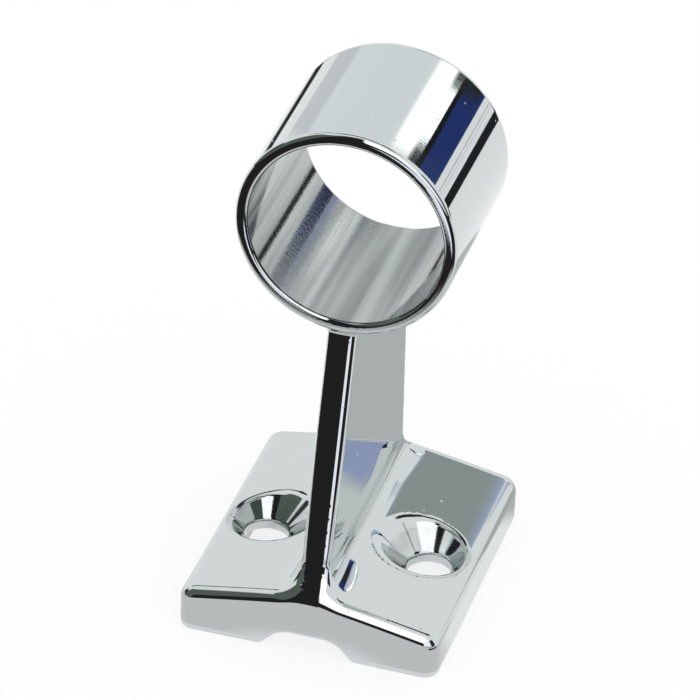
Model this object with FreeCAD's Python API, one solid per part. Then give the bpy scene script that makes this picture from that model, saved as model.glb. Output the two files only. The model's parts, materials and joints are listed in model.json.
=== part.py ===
"""Centre bracket for a round handrail: one polished, plated casting.

Frame: +Z up from the mounting surface, +Y along the rail, origin at the middle of the foot.
All sizes are in millimetres.
"""
import FreeCAD, Part
import math
import os

# Rail and collar
rail_diameter = 25.4
rail_clearance = 0.2
collar_wall = 1.7
collar_length = 24.6
collar_height = 57.2
collar_setback = 3.2
rim_rounding = 0.7
rim_steps = 3

# Base plate
base_width = 35.0
base_depth = 40.0
base_edge_height = 5.8
base_crown = 3.4
base_corner_radius = 2.0
base_edge_rounding = 1.6
ridge_rounding = 14.0

# Underside relief and the channel that opens it to both ends
relief_depth = 2.5
relief_rim = 3.0
channel_foot_width = 12.4
channel_roof_width = 7.4
channel_rounding = 0.9

# Web between base and collar
web_thickness = 3.9
web_front_inset = 0.5
web_back_inset = 0.2
web_foot_front = 1.5
web_foot_back = 2.0
web_flare_height = 5.0
web_end_bulge = 1.1
web_side_fillet = 2.6
web_root_sink = 0.06
web_collar_fillet = 2.2

# Screw holes
screw_spacing = 22.4
screw_forward = 1.6
screw_hole_diameter = 5.8
countersink_diameter = 11.6
countersink_angle = 90.0

V = FreeCAD.Vector
bore_radius = (rail_diameter + rail_clearance) / 2
collar_radius = bore_radius + collar_wall
ridge_height = base_edge_height + base_crown
roof_slope = base_crown / (base_width / 2)
base_front = -base_depth / 2
base_back = base_depth / 2
collar_front = collar_setback - collar_length / 2
collar_back = collar_setback + collar_length / 2
roof_angle = math.atan(roof_slope)
half_web = web_thickness / 2

# Fillet between the web's side and the sloping top: centre of its arc, and where it ends.
# Both of the web's fillets end a little inside their neighbour, so that they cross its skin.
foot_arc_x = half_web + web_side_fillet
foot_arc_z = (ridge_height - web_root_sink - roof_slope * foot_arc_x
              + web_side_fillet / math.cos(roof_angle))
foot_z = foot_arc_z - web_side_fillet * math.cos(roof_angle)
flare_top_z = foot_z + web_flare_height

# Fillet between the web's side and the collar: centre of its arc, and where it ends
neck_arc_x = half_web + web_collar_fillet
seat_radius = collar_radius - web_root_sink
neck_reach = seat_radius + web_collar_fillet
neck_arc_z = collar_height - math.sqrt(neck_reach ** 2 - neck_arc_x ** 2)
neck_z = collar_height - (collar_height - neck_arc_z) * seat_radius / neck_reach


def prism_along_y(points, start, length):
    """Closed polygon given as (x, z) pairs, drawn at y = start and extruded along +Y."""
    corners = [V(x, start, z) for x, z in points]
    face = Part.Face(Part.makePolygon(corners + corners[:1]))
    return face.extrude(V(0, length, 0))


def rounded_block(width, depth, height, radius):
    """Upright block centred on the Z axis, with its vertical corners rounded."""
    block = Part.makeBox(width, depth, height, V(-width / 2, -depth / 2, 0))
    upright = [e for e in block.Edges if abs(e.BoundBox.ZLength - height) < 1e-6]
    return block.makeFillet(radius, upright)


def base_block():
    """Plate with two sloping halves that meet in a rounded ridge, and rounded top edges."""
    half_width = base_width / 2
    arc_end = ridge_rounding * math.sin(roof_angle)
    arc_end_z = ridge_height - roof_slope * arc_end
    crest_z = arc_end_z + ridge_rounding * (1 - math.cos(roof_angle))
    corners = [V(x, base_front, z) for x, z in (
        (arc_end, arc_end_z), (half_width, base_edge_height), (half_width, 0),
        (-half_width, 0), (-half_width, base_edge_height), (-arc_end, arc_end_z))]
    crest = Part.Arc(corners[-1], V(0, base_front, crest_z), corners[0]).toShape()
    profile = Part.Wire(Part.makePolygon(corners).Edges + [crest])
    under_roof = Part.Face(profile).extrude(V(0, base_depth, 0))
    outline = rounded_block(base_width, base_depth, ridge_height, base_corner_radius)
    block = outline.common(under_roof)
    top_edges = []
    for edge in block.Edges:
        middle = edge.valueAt((edge.FirstParameter + edge.LastParameter) / 2)
        by_side = abs(middle.x) > half_width - base_corner_radius
        by_end = abs(middle.y) > base_depth / 2 - base_corner_radius
        upright = edge.BoundBox.XLength < 1e-6 and edge.BoundBox.YLength < 1e-6
        if middle.z > base_edge_height - 1e-3 and (by_side or by_end) and not upright:
            top_edges.append(edge)
    return block.makeFillet(base_edge_rounding, top_edges)


def half_thickness(height):
    """Half of the web's thickness at one height, with both its side fillets."""
    if height < foot_arc_z:
        drop = foot_arc_z - height
        return foot_arc_x - math.sqrt(web_side_fillet ** 2 - drop ** 2)
    if height > neck_arc_z:
        rise = height - neck_arc_z
        return neck_arc_x - math.sqrt(web_collar_fillet ** 2 - rise ** 2)
    return half_web


def web_ends(height):
    """Front and back of the web at one height: straight lines that flare out at the foot."""
    up = (height - foot_z) / (neck_z - foot_z)
    tip_front = base_front + base_edge_rounding / 2
    tip_back = base_back - base_edge_rounding / 2
    foot_front = tip_front + web_foot_front
    foot_back = tip_back - web_foot_back
    front = foot_front + (collar_front + web_front_inset - foot_front) * up
    back = foot_back + (collar_back - web_back_inset - foot_back) * up
    spread = 0.0
    if height < flare_top_z:
        spread = ((flare_top_z - height) / web_flare_height) ** 2.5
    return front - spread * web_foot_front, back + spread * web_foot_back


def slot_wire(height):
    """Outline of the web at one height: two straight sides and two shallow round ends."""
    half = half_thickness(height)
    front, back = web_ends(height)
    near = front + web_end_bulge * half / half_web
    far = back - web_end_bulge * half / half_web
    left_near = V(-half, near, height)
    right_near = V(half, near, height)
    right_far = V(half, far, height)
    left_far = V(-half, far, height)
    return Part.Wire([
        Part.Arc(left_near, V(0, front, height), right_near).toShape(),
        Part.LineSegment(right_near, right_far).toShape(),
        Part.Arc(right_far, V(0, back, height), left_far).toShape(),
        Part.LineSegment(left_far, left_near).toShape()])


def stack(heights):
    """Smooth solid through the web's outlines at these heights."""
    return Part.makeLoft([slot_wire(z) for z in heights], True, len(heights) == 2)


def make_web():
    """Web with its flared foot, its straight blade and its neck under the collar."""
    arc_steps = [0.0, 0.12, 0.26, 0.42, 0.6, 0.8, 1.0]
    foot_heights = [foot_z + web_flare_height * t ** 1.5 for t in arc_steps]
    neck_heights = [neck_arc_z + (neck_z - neck_arc_z) * t for t in (0.0, 0.4, 0.75, 1.0)]
    root = Part.Face(slot_wire(foot_z)).extrude(V(0, 0, -1))
    foot = stack(foot_heights)
    blade = stack([flare_top_z, neck_arc_z])
    neck = stack(neck_heights)
    seat = Part.Face(slot_wire(neck_z)).extrude(V(0, 0, collar_wall / 4))
    return root.fuse([foot, blade, neck, seat])


def turned_bar(radius, end_radius):
    """Solid turned about the rail's axis, as long as the collar.

    Its radius changes to end_radius at both ends through a quarter round, turned as a few
    short cones: smaller for the collar's outside, larger for the mouths of the bore.
    """
    inner = collar_length / 2 - rim_rounding
    turns = [math.radians(90.0 * i / rim_steps) for i in range(rim_steps + 1)]
    near = [V(end_radius + (radius - end_radius) * math.sin(a),
              -inner - rim_rounding * math.cos(a), 0) for a in turns]
    far = [V(p.x, -p.y, 0) for p in reversed(near)]
    profile = [V(0, -collar_length / 2, 0)] + near + far + [V(0, collar_length / 2, 0)]
    face = Part.Face(Part.makePolygon(profile + profile[:1]))
    solid = face.revolve(V(0, 0, 0), V(0, 1, 0), 360)
    solid.translate(V(0, collar_setback, collar_height))
    return solid


def screw_cut(side):
    """One countersunk screw hole as a revolved cutter, with its axis upright."""
    x = side * screw_spacing / 2
    surface = ridge_height - abs(x) * roof_slope
    head = countersink_diameter / 2
    shank = screw_hole_diameter / 2
    slope = math.tan(math.radians(countersink_angle / 2))
    overrun = head * roof_slope * 2
    top = surface + overrun
    profile = [
        V(0, 0, -1), V(shank, 0, -1), V(shank, 0, surface - (head - shank) / slope),
        V(head + overrun * slope, 0, top), V(0, 0, top)]
    face = Part.Face(Part.makePolygon(profile + profile[:1]))
    cutter = face.revolve(V(0, 0, 0), V(0, 0, 1), 360)
    cutter.translate(V(x, -screw_forward, 0))
    return cutter


def underside_cut():
    """Shallow relief inside a rim, opened at both ends by a channel with sloping sides."""
    relief = rounded_block(
        base_width - 2 * relief_rim, base_depth - 2 * relief_rim,
        relief_depth, base_corner_radius)
    foot = channel_foot_width / 2
    roof = channel_roof_width / 2
    channel = prism_along_y(
        [(-foot, 0), (foot, 0), (roof, relief_depth), (-roof, relief_depth)],
        base_front - 1, base_depth + 2)
    roof_edges = [e for e in channel.Edges
                  if e.BoundBox.YLength > base_depth and e.BoundBox.ZMin > relief_depth / 2]
    return relief.fuse(channel.makeFillet(channel_rounding, roof_edges))


def build():
    bar = turned_bar(collar_radius, collar_radius - rim_rounding)
    bore = turned_bar(bore_radius, bore_radius + rim_rounding)
    body = base_block().fuse([make_web(), bar])
    body = body.cut(underside_cut())
    body = body.cut([screw_cut(-1), screw_cut(1)])
    body = body.cut(bore)
    return body.removeSplitter()


bracket = build()
os.makedirs("parts", exist_ok=True)
bracket.exportStep("parts/bracket.step")
print("solids", len(bracket.Solids), "valid", bracket.isValid(), "volume", round(bracket.Volume, 1))
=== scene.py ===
import json
import math
import bmesh
import bpy
import numpy as np
from mathutils import Matrix, Vector


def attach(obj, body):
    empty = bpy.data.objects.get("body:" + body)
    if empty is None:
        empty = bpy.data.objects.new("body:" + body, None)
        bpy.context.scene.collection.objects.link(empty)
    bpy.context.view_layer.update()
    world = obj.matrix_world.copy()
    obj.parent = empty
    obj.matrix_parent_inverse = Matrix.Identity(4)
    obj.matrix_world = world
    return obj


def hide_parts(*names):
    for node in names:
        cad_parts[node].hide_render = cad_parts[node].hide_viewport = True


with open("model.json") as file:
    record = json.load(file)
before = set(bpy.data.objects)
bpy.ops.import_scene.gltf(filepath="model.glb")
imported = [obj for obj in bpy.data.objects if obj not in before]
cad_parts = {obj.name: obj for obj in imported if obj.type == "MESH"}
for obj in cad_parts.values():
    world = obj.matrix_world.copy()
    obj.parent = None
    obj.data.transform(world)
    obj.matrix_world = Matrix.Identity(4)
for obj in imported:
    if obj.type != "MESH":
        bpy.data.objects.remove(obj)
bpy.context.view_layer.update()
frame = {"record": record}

mountByName = {m["name"]: m for m in frame["record"]["mounts"]}
railCentre = np.array(mountByName["rail_bore"]["pos_m"])      # middle of the rail's bore

# sizes of the casting in millimetres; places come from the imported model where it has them
collar = {
    "axisY": railCentre[1] * 1000, "axisZ": railCentre[2] * 1000,
    "boreRadius": mountByName["rail_bore"]["dims"]["r_mm"],
    "wall": 1.7, "halfLength": 12.3, "rimRounding": 0.7, "mouthRounding": 0.55,
    "boreFloor": 40,                            # the bore's faces all lie above this height
}
plate = {
    "halfWidth": 17.5, "halfDepth": 20.0, "edgeHeight": 5.8, "slope": 3.4 / 17.5,
    "ridgeSoftness": 3.0, "cornerRadius": 2.0, "edgeRounding": 1.6, "footRounding": 0.35,
}
web = {
    "halfThickness": 1.95, "edgeRounding": 0.75,
    "frontAt": (-17.66, 8.4, -8.6, 43.15),      # y and z of two points of the front edge
    "backAt": (17.2, 8.4, 15.3, 43.15),
    "top": 50,                                  # inside the collar's wall, where the blade stops
    "sideFillet": 2.5, "frontFillet": 3.4, "backFillet": 3.2, "neckFillet": 2.0,
    "footFrom": 9, "footOver": 9,               # the side fillet turns into the end fillets from here on
    "neckEnd": 0.5, "neckOver": 3.5,            # the neck's fillet shrinks to this near the collar's ends
}
screws = {
    "reach": mountByName["screw_holes"]["dims"]["spacing_x_mm"] / 2,
    "y": mountByName["screw_holes"]["pos_m"][1] * 1000,
    "holeRadius": 2.9, "headRadius": 5.8, "rimRounding": 0.45, "holeRounding": 0.25, "lidRise": 3,
}
underside = {
    "depth": 2.5, "rim": 3.0, "cornerRadius": 2.0, "channelFoot": 6.2, "channelRoof": 3.7,
    "channelRounding": 0.9, "edgeRounding": 0.5,
}


def roundJoin(a, b, r):
    # two bodies grown together: where both skins are nearer than r, a hollow quarter round fills the corner
    return np.maximum(r, np.minimum(a, b)) - np.hypot(np.maximum(r - a, 0), np.maximum(r - b, 0))


def roundMeet(a, b, r):
    # what two bodies share, with the edge between their skins rounded off at radius r
    return np.minimum(-r, np.maximum(a, b)) + np.hypot(np.maximum(r + a, 0), np.maximum(r + b, 0))


def ease(t):
    t = np.clip(t, 0, 1)
    return t * t * (3 - 2 * t)


def roundedRect(x, y, halfX, halfY, r):
    # distance to a rectangle with rounded corners, measured from its shrunken core
    qx, qy = np.abs(x) - (halfX - r), np.abs(y) - (halfY - r)
    return np.hypot(np.maximum(qx, 0), np.maximum(qy, 0)) + np.minimum(np.maximum(qx, qy), 0) - r


def leaningEdge(y, z, points):
    # signed distance to the line through two points of the web's profile, positive towards +Y
    y0, z0, y1, z1 = points
    lean = (y1 - y0) / (z1 - z0)
    return (y - y0 - lean * (z - z0)) / math.sqrt(1 + lean * lean)


def roofHeight(x):
    # two slopes that meet in a soft ridge: a hyperbola that runs into the slopes
    soft = plate["ridgeSoftness"]
    base = plate["edgeHeight"] + plate["slope"] * math.hypot(plate["halfWidth"], soft)
    return base - plate["slope"] * np.hypot(x, soft)


def railReach(x, z):
    # distance from the rail's axis
    return np.hypot(x, z - collar["axisZ"])


def screwReach(x, y):
    # distance from the nearer screw's axis
    return np.hypot(np.abs(x) - screws["reach"], y - screws["y"])


def casting(x, y, z):
    # distance to the casting's skin, negative inside: plate, web and collar grown together,
    # then the plate's outline, the bore, the screw holes and the underside cut in turn.
    # A screw's cutter is a cone and a hole, closed above the plate by a second cone, its lid.
    level = 1 / math.sqrt(1 + plate["slope"] ** 2)
    roof = (z - roofHeight(x)) * level
    outline = roundedRect(x, y, plate["halfWidth"], plate["halfDepth"], plate["cornerRadius"])
    sides = np.abs(x) - web["halfThickness"]
    ends = np.maximum(-leaningEdge(y, z, web["frontAt"]), leaningEdge(y, z, web["backAt"]))
    blade = np.maximum(roundMeet(sides, ends, web["edgeRounding"]), z - web["top"])
    forward = ease((-y - web["footFrom"]) / web["footOver"])
    rearward = ease((y - web["footFrom"]) / web["footOver"])
    footFillet = web["sideFillet"] + (web["frontFillet"] - web["sideFillet"]) * forward \
        + (web["backFillet"] - web["sideFillet"]) * rearward
    body = roundJoin(blade, roof, footFillet)
    body = roundMeet(body, outline, plate["edgeRounding"])
    along = y - collar["axisY"]
    around = railReach(x, z)
    bar = roundMeet(around - collar["boreRadius"] - collar["wall"], np.abs(along) - collar["halfLength"],
                    collar["rimRounding"])
    nearEnd = ease((collar["halfLength"] - np.abs(along)) / web["neckOver"])
    neckFillet = web["neckEnd"] + (web["neckFillet"] - web["neckEnd"]) * nearEnd
    body = roundJoin(body, bar, neckFillet)
    body = roundMeet(body, collar["boreRadius"] - around, collar["mouthRounding"])
    body = roundMeet(body, -z, plate["footRounding"])
    seatZ = plate["edgeHeight"] + plate["slope"] * (plate["halfWidth"] - screws["reach"])
    reach = screwReach(x, y)
    cone = (reach - screws["headRadius"] - (z - seatZ)) * math.sqrt(0.5)
    lid = (reach - screws["headRadius"] - screws["lidRise"] + (z - seatZ)) * math.sqrt(0.5)
    clear = np.minimum(roundMeet(-cone, screws["holeRadius"] - reach, screws["holeRounding"]), -lid)
    body = roundMeet(body, clear, screws["rimRounding"])
    relief = np.maximum(roundedRect(x, y, plate["halfWidth"] - underside["rim"],
                                    plate["halfDepth"] - underside["rim"], underside["cornerRadius"]),
                        z - underside["depth"])
    fall = (underside["channelFoot"] - underside["channelRoof"]) / underside["depth"]
    flank = (np.abs(x) - underside["channelFoot"] + fall * z) / math.sqrt(1 + fall * fall)
    channel = roundMeet(flank, z - underside["depth"], underside["channelRounding"])
    return roundMeet(body, -np.minimum(relief, channel), underside["edgeRounding"])


def fieldSlope(p, step=0.01):
    # outward direction of the skin: how the distance changes over a small step along each axis
    slope = np.empty_like(p)
    for axis in range(3):
        shift = np.zeros(3)
        shift[axis] = step
        slope[:, axis] = (casting(*(p + shift).T) - casting(*(p - shift).T)) / (2 * step)
    return slope


def ontoSkin(points, rounds):
    # Newton's steps along the slope until the distance to the skin is nothing
    for _ in range(rounds):
        slope = fieldSlope(points)
        points -= slope * (casting(*points.T) / (slope ** 2).sum(1))[:, None]
    return points


def stepped(stops):
    # grid line places from (from, to, step) runs laid end to end
    runs = [np.linspace(a, b, max(2, int(round((b - a) / s)) + 1))[:-1] for a, b, s in stops]
    return np.concatenate(runs + [[stops[-1][1]]])


# grid line places in millimetres; w is a level that follows the plate's top, then straightens out
gridLines = {
    "x": [(-17.9, 17.9, 0.34)],
    "y": [(-20.4, -17.8, 0.26), (-17.8, -9.6, 0.45), (-9.6, -7.8, 0.3), (-7.8, 6.0, 0.48), (6.0, 13.8, 0.6),
          (13.8, 16.0, 0.3), (16.0, 17.8, 0.45), (17.8, 20.4, 0.26)],
    "w": [(-0.4, 9.6, 0.29), (9.6, 13.0, 0.36), (13.0, 40.5, 0.9), (40.5, 72.2, 0.36)],
    "straightOver": 25,
}


def skinMesh():
    # a vertex for each grid cell that the skin crosses, moved onto the skin along its slope,
    # and a face across each grid line that the skin cuts
    xs, ys, ws = (stepped(gridLines[k]) for k in "xyw")
    crest = float(roofHeight(0.0))

    def bend(x, w):
        low = w * roofHeight(x) / crest
        high = w - (crest - roofHeight(x)) * (1 - ease((w - crest) / gridLines["straightOver"]))
        return np.where(w < crest, low, high)

    gx, gy, gw = np.meshgrid(xs, ys, ws, indexing="ij")
    gz = bend(gx, gw)
    value = casting(gx, gy, gz)
    inside = value < 0
    shape = np.array(inside.shape) - 1
    total = np.zeros(tuple(shape) + (3,))
    count = np.zeros(tuple(shape))
    corners = [(i, j, k) for i in (0, 1) for j in (0, 1) for k in (0, 1)]
    place = np.stack([gx, gy, gz], -1)

    def part(array, c):
        return array[c[0]:c[0] + shape[0], c[1]:c[1] + shape[1], c[2]:c[2] + shape[2]]

    for a in corners:
        for axis in range(3):
            if a[axis]:
                continue
            b = tuple(v + (n == axis) for n, v in enumerate(a))
            cut = part(inside, a) != part(inside, b)
            va, vb = part(value, a)[cut], part(value, b)[cut]
            t = (va / (va - vb))[:, None]
            total[cut] += part(place, a)[cut] * (1 - t) + part(place, b)[cut] * t
            count[cut] += 1
    used = count > 0
    number = np.full(tuple(shape), -1)
    number[used] = np.arange(used.sum())
    points = ontoSkin(total[used] / count[used][:, None], 5)
    faces = []
    for axis in range(3):
        u, v = [n for n in range(3) if n != axis]
        lower = [slice(1, -1)] * 3
        lower[axis] = slice(0, -1)
        upper = [slice(1, -1)] * 3
        upper[axis] = slice(1, None)
        start, end = inside[tuple(lower)], inside[tuple(upper)]
        cut = np.argwhere(start != end)
        leaves = start[tuple(cut.T)]
        ring = []
        for du, dv in ((0, 0), (1, 0), (1, 1), (0, 1)):
            index = cut.copy()
            index[:, u] += du
            index[:, v] += dv
            ring.append(number[tuple(index.T)])
        quad = np.stack(ring, 1)
        turned = leaves if axis != 1 else ~leaves
        quad[~turned] = quad[~turned][:, ::-1]
        faces.append(quad)
    return points, np.concatenate(faces)


# the zones that get finer faces, in millimetres
fineZones = {"reach": 0.8, "rimRadii": (12.2, 15.2), "seatHeights": (5, 9.5)}


def nearRim(p):
    # where the skin turns tightest: the collar's two rims and the screw seats' rims
    x, y, z = p.T
    around = railReach(x, z)
    end = np.abs(np.abs(y - collar["axisY"]) - collar["halfLength"]) < fineZones["reach"]
    rim = end & (around > fineZones["rimRadii"][0]) & (around < fineZones["rimRadii"][1])
    seat = np.abs(screwReach(x, y) - screws["headRadius"]) < fineZones["reach"]
    return rim | (seat & (z > fineZones["seatHeights"][0]) & (z < fineZones["seatHeights"][1]))


def refine(mesh):
    # each edge in the tight places is halved, and its new point is moved onto the skin
    work = bmesh.new()
    work.from_mesh(mesh)
    near = nearRim(np.array([v.co[:] for v in work.verts]) * 1000)
    edges = [e for e in work.edges if near[e.verts[0].index] and near[e.verts[1].index]]
    bmesh.ops.subdivide_edges(work, edges=edges, cuts=1, use_grid_fill=True)
    work.to_mesh(mesh)
    work.free()
    points = np.empty(len(mesh.vertices) * 3)
    mesh.vertices.foreach_get("co", points)
    points = ontoSkin(points.reshape(-1, 3) * 1000, 3)
    mesh.vertices.foreach_set("co", (points / 1000).astype(np.float32).ravel())
    mesh.update()
    return points


def buildSkin():
    # the skin as a mesh in metres, with its shading taken from the distance's own slope
    points, faces = skinMesh()
    mesh = bpy.data.meshes.new("castBracket")
    mesh.vertices.add(len(points))
    mesh.vertices.foreach_set("co", (points / 1000).astype(np.float32).ravel())
    mesh.loops.add(faces.size)
    mesh.loops.foreach_set("vertex_index", faces.astype(np.int32).ravel())
    mesh.polygons.add(len(faces))
    mesh.polygons.foreach_set("loop_start", np.arange(0, faces.size, 4, dtype=np.int32))
    mesh.polygons.foreach_set("use_smooth", np.ones(len(faces), dtype=bool))
    mesh.update(calc_edges=True)
    mesh.validate()
    points = refine(mesh)
    slope = fieldSlope(points)
    normals = slope / np.linalg.norm(slope, axis=1)[:, None]
    mesh.normals_split_custom_set_from_vertices(normals.astype(np.float32))
    mesh.calc_loop_triangles()
    skin = bpy.data.objects.new("castBracket", mesh)
    bpy.context.scene.collection.objects.link(skin)
    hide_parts("bracket")
    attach(skin, "root")
    print("skin built", len(points), "points", len(mesh.loop_triangles), "triangles")
    return skin


skin = buildSkin()


def newTree(name):
    mat = bpy.data.materials.new(name)
    mat.use_nodes = True
    mat.node_tree.nodes.clear()
    return mat, mat.node_tree


def put(tree, kind, sockets=None, **settings):
    # one node: settings first, then its inputs, each a plain value or another node's output
    node = tree.nodes.new("ShaderNode" + kind)
    for key, value in settings.items():
        setattr(node, key, value)
    for key, value in (sockets or {}).items():
        if isinstance(value, bpy.types.NodeSocket):
            tree.links.new(value, node.inputs[key])
        else:
            node.inputs[key].default_value = value
    return node


# height of a finish's relief in metres, and how often its marks come in a metre
marks = {"height": 0.00004, "waves": 160.0, "grain": 2600.0, "pits": 330.0, "pitSize": 0.075, "streaks": 130.0}

# stretch: how much closer the marks lie along X, Y and Z; a low number draws them out
finishes = {
    "polishedChrome": {"colour": (0.62, 0.665, 0.66), "roughness": 0.03, "roughnessSpread": 0.02,
                       "waves": 0.08, "grain": 0.014, "pits": 0.35, "streaks": 0.0, "stretch": (1, 1, 1)},
    "satinBore": {"colour": (0.41, 0.445, 0.435), "roughness": 0.09, "roughnessSpread": 0.07,
                  "waves": 0.7, "grain": 0.16, "pits": 0.3, "streaks": 0.34, "stretch": (1, 0.12, 1)},
    "turnedSeat": {"colour": (0.56, 0.60, 0.595), "roughness": 0.07, "roughnessSpread": 0.05,
                   "waves": 0.3, "grain": 0.05, "pits": 0.4, "streaks": 0.12, "stretch": (1, 1, 1)},
    "castUnderside": {"colour": (0.50, 0.53, 0.525), "roughness": 0.30, "roughnessSpread": 0.08,
                      "waves": 0.6, "grain": 0.25, "pits": 0.5, "streaks": 0.1, "stretch": (1, 1, 1)},
}


def bump(tree, height, strength, below=None):
    sockets = {"Height": height, "Strength": strength, "Distance": marks["height"]}
    if below:
        sockets["Normal"] = below
    return put(tree, "Bump", sockets).outputs[0]


def streakedColour(tree, place, look):
    # the finish's colour, darker and lighter in streaks
    closer = tuple(3 * v if v == 1 else v for v in look["stretch"])
    mapped = put(tree, "Mapping", {"Vector": place, "Scale": closer})
    streaks = put(tree, "TexNoise", {"Vector": mapped.outputs[0], "Scale": marks["streaks"], "Detail": 4.0})
    depth = put(tree, "MapRange", {"Value": streaks.outputs[0], "From Min": 0.38, "From Max": 0.62,
                                   "To Min": 1.0 - look["streaks"], "To Max": 1.0 + look["streaks"] * 0.4})
    return put(tree, "VectorMath", {0: look["colour"], 1: depth.outputs[0]}, operation="MULTIPLY").outputs[0]


def makeFinish(name):
    # plated metal: slow waves left by polishing, fine grain and a few pits, each a relief on the one before
    look = finishes[name]
    mat, tree = newTree(name)
    place = put(tree, "TexCoord").outputs["Object"]
    mapped = put(tree, "Mapping", {"Vector": place, "Scale": look["stretch"]}).outputs[0]
    waves = put(tree, "TexNoise", {"Vector": mapped, "Scale": marks["waves"], "Detail": 2.0,
                                   "Roughness": 0.45}).outputs[0]
    grain = put(tree, "TexNoise", {"Vector": place, "Scale": marks["grain"], "Detail": 2.0}).outputs[0]
    spots = put(tree, "TexVoronoi", {"Vector": place, "Scale": marks["pits"]})
    pit = put(tree, "MapRange", {"Value": spots.outputs["Distance"], "From Min": 0.0,
                                 "From Max": marks["pitSize"], "To Min": -1.0, "To Max": 0.0}).outputs[0]
    normal = bump(tree, waves, look["waves"])
    normal = bump(tree, grain, look["grain"], normal)
    normal = bump(tree, pit, look["pits"], normal)
    rough = put(tree, "MapRange", {"Value": waves, "From Min": 0.3, "From Max": 0.7,
                                   "To Min": look["roughness"] - look["roughnessSpread"] / 2,
                                   "To Max": look["roughness"] + look["roughnessSpread"] / 2})
    colour = streakedColour(tree, place, look) if look["streaks"] else (*look["colour"], 1)
    metal = put(tree, "BsdfPrincipled", {"Metallic": 1.0, "Base Color": colour,
                                         "Roughness": rough.outputs[0], "Normal": normal})
    put(tree, "OutputMaterial", {"Surface": metal.outputs[0]})
    return mat


def dressSkin():
    # each face gets the finish of its place: bore, screw seats, underside, or the polished outside
    mesh = skin.data
    centres = np.empty(len(mesh.polygons) * 3)
    mesh.polygons.foreach_get("center", centres)
    x, y, z = centres.reshape(-1, 3).T * 1000
    bore = (railReach(x, z) < collar["boreRadius"] + 0.12) & (z > collar["boreFloor"])
    seat = (screwReach(x, y) < screws["headRadius"] - 0.35) & (z < 10) & (z > underside["depth"] + 0.1)
    inRelief = (np.abs(x) < plate["halfWidth"] - underside["rim"] + 0.15) \
        & (np.abs(y) < plate["halfDepth"] - underside["rim"] + 0.15)
    inChannel = (np.abs(x) < underside["channelFoot"] + 0.2) & (np.abs(y) < plate["halfDepth"] - 0.15)
    below = (z < 0.2) | ((z < underside["depth"] + 0.05) & (inRelief | inChannel) & ~seat)
    for name in finishes:
        mesh.materials.append(makeFinish(name))
    slots = np.zeros(len(x), dtype=np.int32)
    for name, mask in (("castUnderside", below), ("turnedSeat", seat), ("satinBore", bore)):
        slots[mask] = list(finishes).index(name)
    mesh.polygons.foreach_set("material_index", slots)
    mesh.update()
    print("finishes given", np.bincount(slots))


dressSkin()

studio = {
    "floorHalf": 3.0, "floorLift": 0.0004, "floorGlow": 0.8, "floorTint": 0.25, "floorColour": 0.8,
    "floorFade": 2.0, "roomLevel": 0.8,
    "cardRadius": 1.3, "collarCardRadius": 1.2, "plateCardRadius": 0.35, "layerGap": 0.004,
}

# The cards stand round the bracket and only reflections see them.
# Upright cards: colour, azimuths (from +Y towards +X) and elevations in degrees seen from the rail,
# how many degrees their edges fade over, and how ragged their sides are
uprightCards = {
    "frontDark": ((0.022, 0.02, 0.02), (166, 214), (-6, 24), 2.0, 0),
    "frontLight": ((1.8, 1.8, 1.8), (120, 184), (25, 80), 2.0, 0),
    "rimLight": ((1.25, 1.25, 1.35), (118, 166), (3, 40), 2.0, 0),
    "cornerDark": ((0.03, 0.024, 0.045), (86, 116), (-6, 40), 2.0, 0),
    "leftFrontGrey": ((0.12, 0.145, 0.125), (206, 264), (-6, 57), 2.5, 0),
    "frontPost": ((0.02, 0.02, 0.022), (184.5, 209), (14, 82), 1.5, 0),
    "frontPostTop": ((0.02, 0.02, 0.022), (184.5, 226), (52, 84), 1.5, 0),
    "topDark": ((0.03, 0.03, 0.035), (-50, 50), (48, 66), 3.0, 0),
    "leftDark": ((0.05, 0.055, 0.05), (-66, -34), (38, 47), 2.0, 0),
    "farSideDark": ((0.05, 0.05, 0.055), (-104, -76), (-6, 26), 3.0, 0),
}

# Cards laid round the rail's direction, so that each draws a stripe along the collar or the plate:
# colour, roll about the rail (from up towards +X), angle from the rail's direction, the fade of both
# in degrees, and how ragged the stripe's sides are
collarCards = {
    "collarPale": ((0.93, 0.94, 0.96), (-75, 20), (31.5, 36.0), (12, 0.5), 0),
    "collarLeft": ((0.75, 0.76, 0.78), (-112, -66), (31.5, 36.0), (8, 0.5), 0),
    "blueStripe": ((0.024, 0.044, 0.185), (46, 78), (31.6, 35.5), (0.8, 0.6), 0),
    "blueTip": ((0.33, 0.38, 0.74), (46, 78), (34.85, 35.6), (0.8, 0.45), 0),
    "blackFringe": ((0.016, 0.016, 0.014), (37, 54.5), (32.0, 35.05), (1.0, 0.15), 0.9),
    "blackCap": ((0.03, 0.03, 0.025), (46, 74), (31.0, 33.3), (1.0, 0.15), 0),
    "softWhite": ((2.1, 2.1, 2.1), (14, 42.5), (32.3, 34.65), (9, 0.25), 0),
    "sharpWhite": ((2.1, 2.1, 2.1), (34, 48.5), (33.15, 34.3), (2, 0.12), 0.9),
    "fineLine": ((0.50, 0.51, 0.53), (84.5, 86.0), (31.5, 36.0), (0.5, 0.5), 0),
    "fineLineTwo": ((0.60, 0.61, 0.63), (88.5, 89.5), (31.5, 36.0), (0.4, 0.5), 0),
}
plateCards = {
    "platePale": ((0.80, 0.81, 0.83), (10, 43), (34.2, 37.2), (3, 0.4), 0),
    "plateGrey": ((0.36, 0.40, 0.39), (-14, 12), (33.8, 38.75), (4, 0.35), 0),
    "plateViolet": ((0.46, 0.51, 0.70), (3.9, 14), (33.8, 38.2), (1.1, 1.0), 0),
    "plateLavender": ((0.52, 0.57, 0.88), (37, 47), (34.0, 36.9), (2, 0.5), 0),
}

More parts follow.
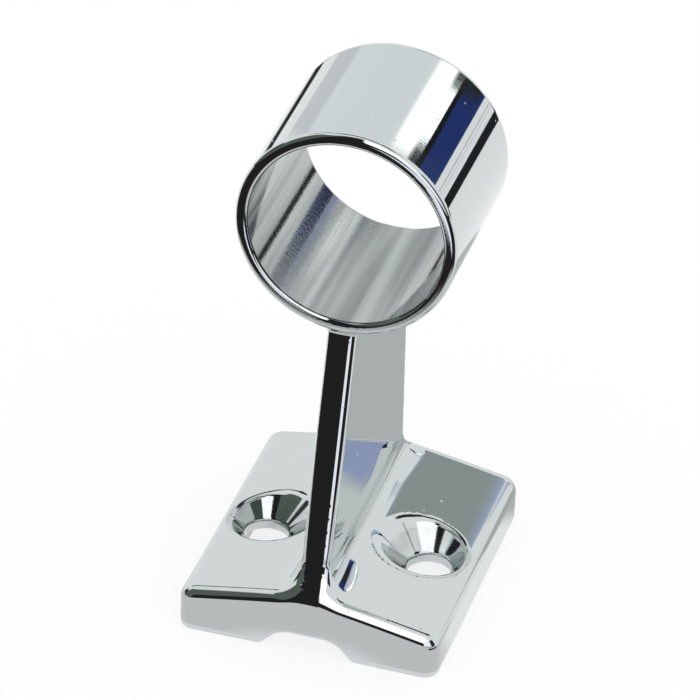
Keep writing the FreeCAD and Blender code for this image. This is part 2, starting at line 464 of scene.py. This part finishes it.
# Cards lying on the floor: colour, azimuths, nearest and farthest distance in metres, the fade of
# these in metres, and how ragged their sides are
floorCards = {
    # a grey sheet on the floor behind the plate and to its right: painted shadow of the bracket on the floor,
    # which only reflections see
    "floorBehindPaintedShadow": ((0.53, 0.555, 0.55), (0, 62), (0.0235, 0.083), 0.004, 0),
    "floorNear": ((0.76, 0.75, 0.75), (98, 262), (0.0208, 0.064), 0.003, 0),
    "floorFront": ((0.022, 0.02, 0.02), (102, 262), (0.062, 1.3), 0.006, 0),
    "floorGlint": ((1.2, 1.2, 1.3), (160, 188.7), (0.0975, 0.60), 0.004, 0),
    "floorCorner": ((0.035, 0.028, 0.05), (120, 141), (0.0295, 0.0375), 0.0012, 0),
    "floorRight": ((0.02, 0.022, 0.024), (22, 60), (0.40, 1.3), 0.02, 0),
    "floorLeft": ((0.03, 0.03, 0.03), (-37.2, -12), (0.165, 0.290), 0.035, 0),
}
# how each group is laid, its cards, the point it is laid round and how far from it
cardGroups = (
    ("upright", uprightCards, railCentre, studio["cardRadius"]),
    ("ring", collarCards, railCentre + np.array([0.0085, 0.0, 0.0117]), studio["collarCardRadius"]),
    ("ring", plateCards, np.array([0.010, 0.0, 0.007]), studio["plateCardRadius"]),
    ("floor", floorCards, np.zeros(3), 0.0),
)


def cardPlaces(kind, turn, rise, layer, centre, radius):
    # points on a ball round the centre by azimuth and elevation, or by roll and angle from +Y,
    # or points just over the floor by azimuth and distance
    a, e = np.radians(turn), np.radians(rise)
    if kind == "floor":
        height = np.full_like(rise, studio["floorLift"] * (1 + layer))
        return np.stack([np.sin(a) * rise, np.cos(a) * rise, height], -1)
    if kind == "ring":
        xyz = np.stack([np.sin(e) * np.sin(a), np.cos(e), np.sin(e) * np.cos(a)], -1)
    else:
        xyz = np.stack([np.sin(a) * np.cos(e), np.cos(a) * np.cos(e), np.sin(e)], -1)
    return xyz * (radius - studio["layerGap"] * layer) + centre


def cardCover(kind, turn, rise, turns, spans, fade, ragged, layer):
    # rises from 0 at the card's edge to 1 inside its fading band; a ragged card's edge is moved row by
    # row by seeded random steps, and its far side fades over a quarter of the width
    fades = {"floor": (studio["floorFade"], fade), "ring": fade, "upright": (fade, fade)}[kind]
    jag = np.random.default_rng(7 + layer).normal(0, 1, turn.shape[1])[None, :] * ragged
    farSteepness = 4 if ragged else 1
    fromSide = np.minimum(turn - turns[0] + jag, (turns[1] - turn + jag) * farSteepness) / fades[0]
    fromEnd = np.minimum(rise - spans[0], spans[1] - rise) / fades[1]
    return ease(np.minimum(fromSide, fromEnd))


def makeCard(name, colour, turns, spans, fade, ragged, layer, kind, centre, radius):
    # a grid over the card's two measures, glowing in its colour and clear where it isn't covered
    turn, rise = np.meshgrid(np.linspace(*turns, 97), np.linspace(*spans, 49), indexing="ij")
    xyz = cardPlaces(kind, turn, rise, layer, centre, radius)
    cover = cardCover(kind, turn, rise, turns, spans, fade, ragged, layer)
    n, m = turn.shape
    index = np.arange(n * m).reshape(n, m)
    quads = np.stack([index[:-1, :-1], index[1:, :-1], index[1:, 1:], index[:-1, 1:]], -1).reshape(-1, 4)
    mesh = bpy.data.meshes.new(name)
    mesh.from_pydata(xyz.reshape(-1, 3).tolist(), [], quads.tolist())
    mesh.attributes.new("cover", "FLOAT", "POINT").data.foreach_set("value", cover.ravel().astype(np.float32))
    card = bpy.data.objects.new(name, mesh)
    bpy.context.scene.collection.objects.link(card)
    mat, tree = newTree(name)
    read = put(tree, "Attribute", attribute_name="cover")
    clear = put(tree, "BsdfTransparent")
    glow = put(tree, "Emission", {"Color": (*colour, 1)})
    mix = put(tree, "MixShader", {0: read.outputs["Fac"], 1: clear.outputs[0], 2: glow.outputs[0]})
    put(tree, "OutputMaterial", {"Surface": mix.outputs[0]})
    mesh.materials.append(mat)
    card.visible_camera = False
    card.visible_shadow = False
    card.visible_diffuse = False


for kind, group, centre, radius in cardGroups:
    for layer, (cardName, cardFacts) in enumerate(group.items()):
        makeCard(cardName, *cardFacts, layer, kind, centre, radius)
print("cards stood round the bracket", sum(len(group) for _, group, _, _ in cardGroups))


def shownRays(tree):
    # 1 for rays from the camera and for those that metal or glass sends on, 0 for soft light
    path = put(tree, "LightPath")
    both = put(tree, "Math", {0: path.outputs["Is Camera Ray"], 1: path.outputs["Is Glossy Ray"]},
               operation="ADD")
    every = put(tree, "Math", {0: both.outputs[0], 1: path.outputs["Is Transmission Ray"]},
                operation="ADD", use_clamp=True)
    return every.outputs[0]


def makeFloor():
    # white where it is seen, with a faint shadow under the bracket; plain pale where it lights things
    half = studio["floorHalf"]
    mesh = bpy.data.meshes.new("floor")
    corners = [(-half, -half, 0), (half, -half, 0), (half, half, 0), (-half, half, 0)]
    mesh.from_pydata(corners, [], [(0, 1, 2, 3)])
    floor = bpy.data.objects.new("floor", mesh)
    bpy.context.scene.collection.objects.link(floor)
    mat, tree = newTree("paleFloor")
    glow = put(tree, "Emission", {"Color": (1, 1, 1, 1), "Strength": studio["floorGlow"]})
    thin = put(tree, "BsdfDiffuse", {"Color": (studio["floorTint"],) * 3 + (1,)})
    seen = put(tree, "AddShader", {0: glow.outputs[0], 1: thin.outputs[0]})
    plain = put(tree, "BsdfDiffuse", {"Color": (studio["floorColour"],) * 3 + (1,)})
    mix = put(tree, "MixShader", {0: shownRays(tree), 1: plain.outputs[0], 2: seen.outputs[0]})
    put(tree, "OutputMaterial", {"Surface": mix.outputs[0]})
    mesh.materials.append(mat)


def makeRoom():
    # even light from all round, and white where it is seen
    world = bpy.data.worlds.new("studio")
    bpy.context.scene.world = world
    world.use_nodes = True
    tree = world.node_tree
    tree.nodes.clear()
    level = put(tree, "MapRange", {"Value": shownRays(tree), "To Min": studio["roomLevel"], "To Max": 1.0})
    back = put(tree, "Background", {"Color": (1, 1, 1, 1), "Strength": level.outputs[0]})
    put(tree, "OutputWorld", {"Surface": back.outputs[0]})


makeFloor()
makeRoom()
print("studio built")

cameraView = {
    "fromRail": (0.14683, -0.52910, 0.33765),     # camera's place from the rail's centre, metres
    "right": (0.9556, 0.2927, 0.0345),
    "ahead": (-0.2262, 0.8034, -0.5508),
    "lens": 261.6, "sensor": 36, "nearest": 0.01, "farthest": 20,
}

# it looks along ahead, with right made square to that
camera = bpy.data.objects.new("camera", bpy.data.cameras.new("camera"))
bpy.context.scene.collection.objects.link(camera)
bpy.context.scene.camera = camera
camera.data.lens = cameraView["lens"]
camera.data.sensor_width = cameraView["sensor"]
camera.data.clip_start = cameraView["nearest"]
camera.data.clip_end = cameraView["farthest"]
ahead = Vector(cameraView["ahead"]).normalized()
right = Vector(cameraView["right"])
right = (right - ahead * right.dot(ahead)).normalized()
up = right.cross(ahead)
turn = Matrix((right, up, -ahead)).transposed()
camera.matrix_world = Matrix.Translation(Vector(railCentre) + Vector(cameraView["fromRail"])) @ turn.to_4x4()
print("camera placed")

bpy.context.scene.view_settings.view_transform = "Standard"
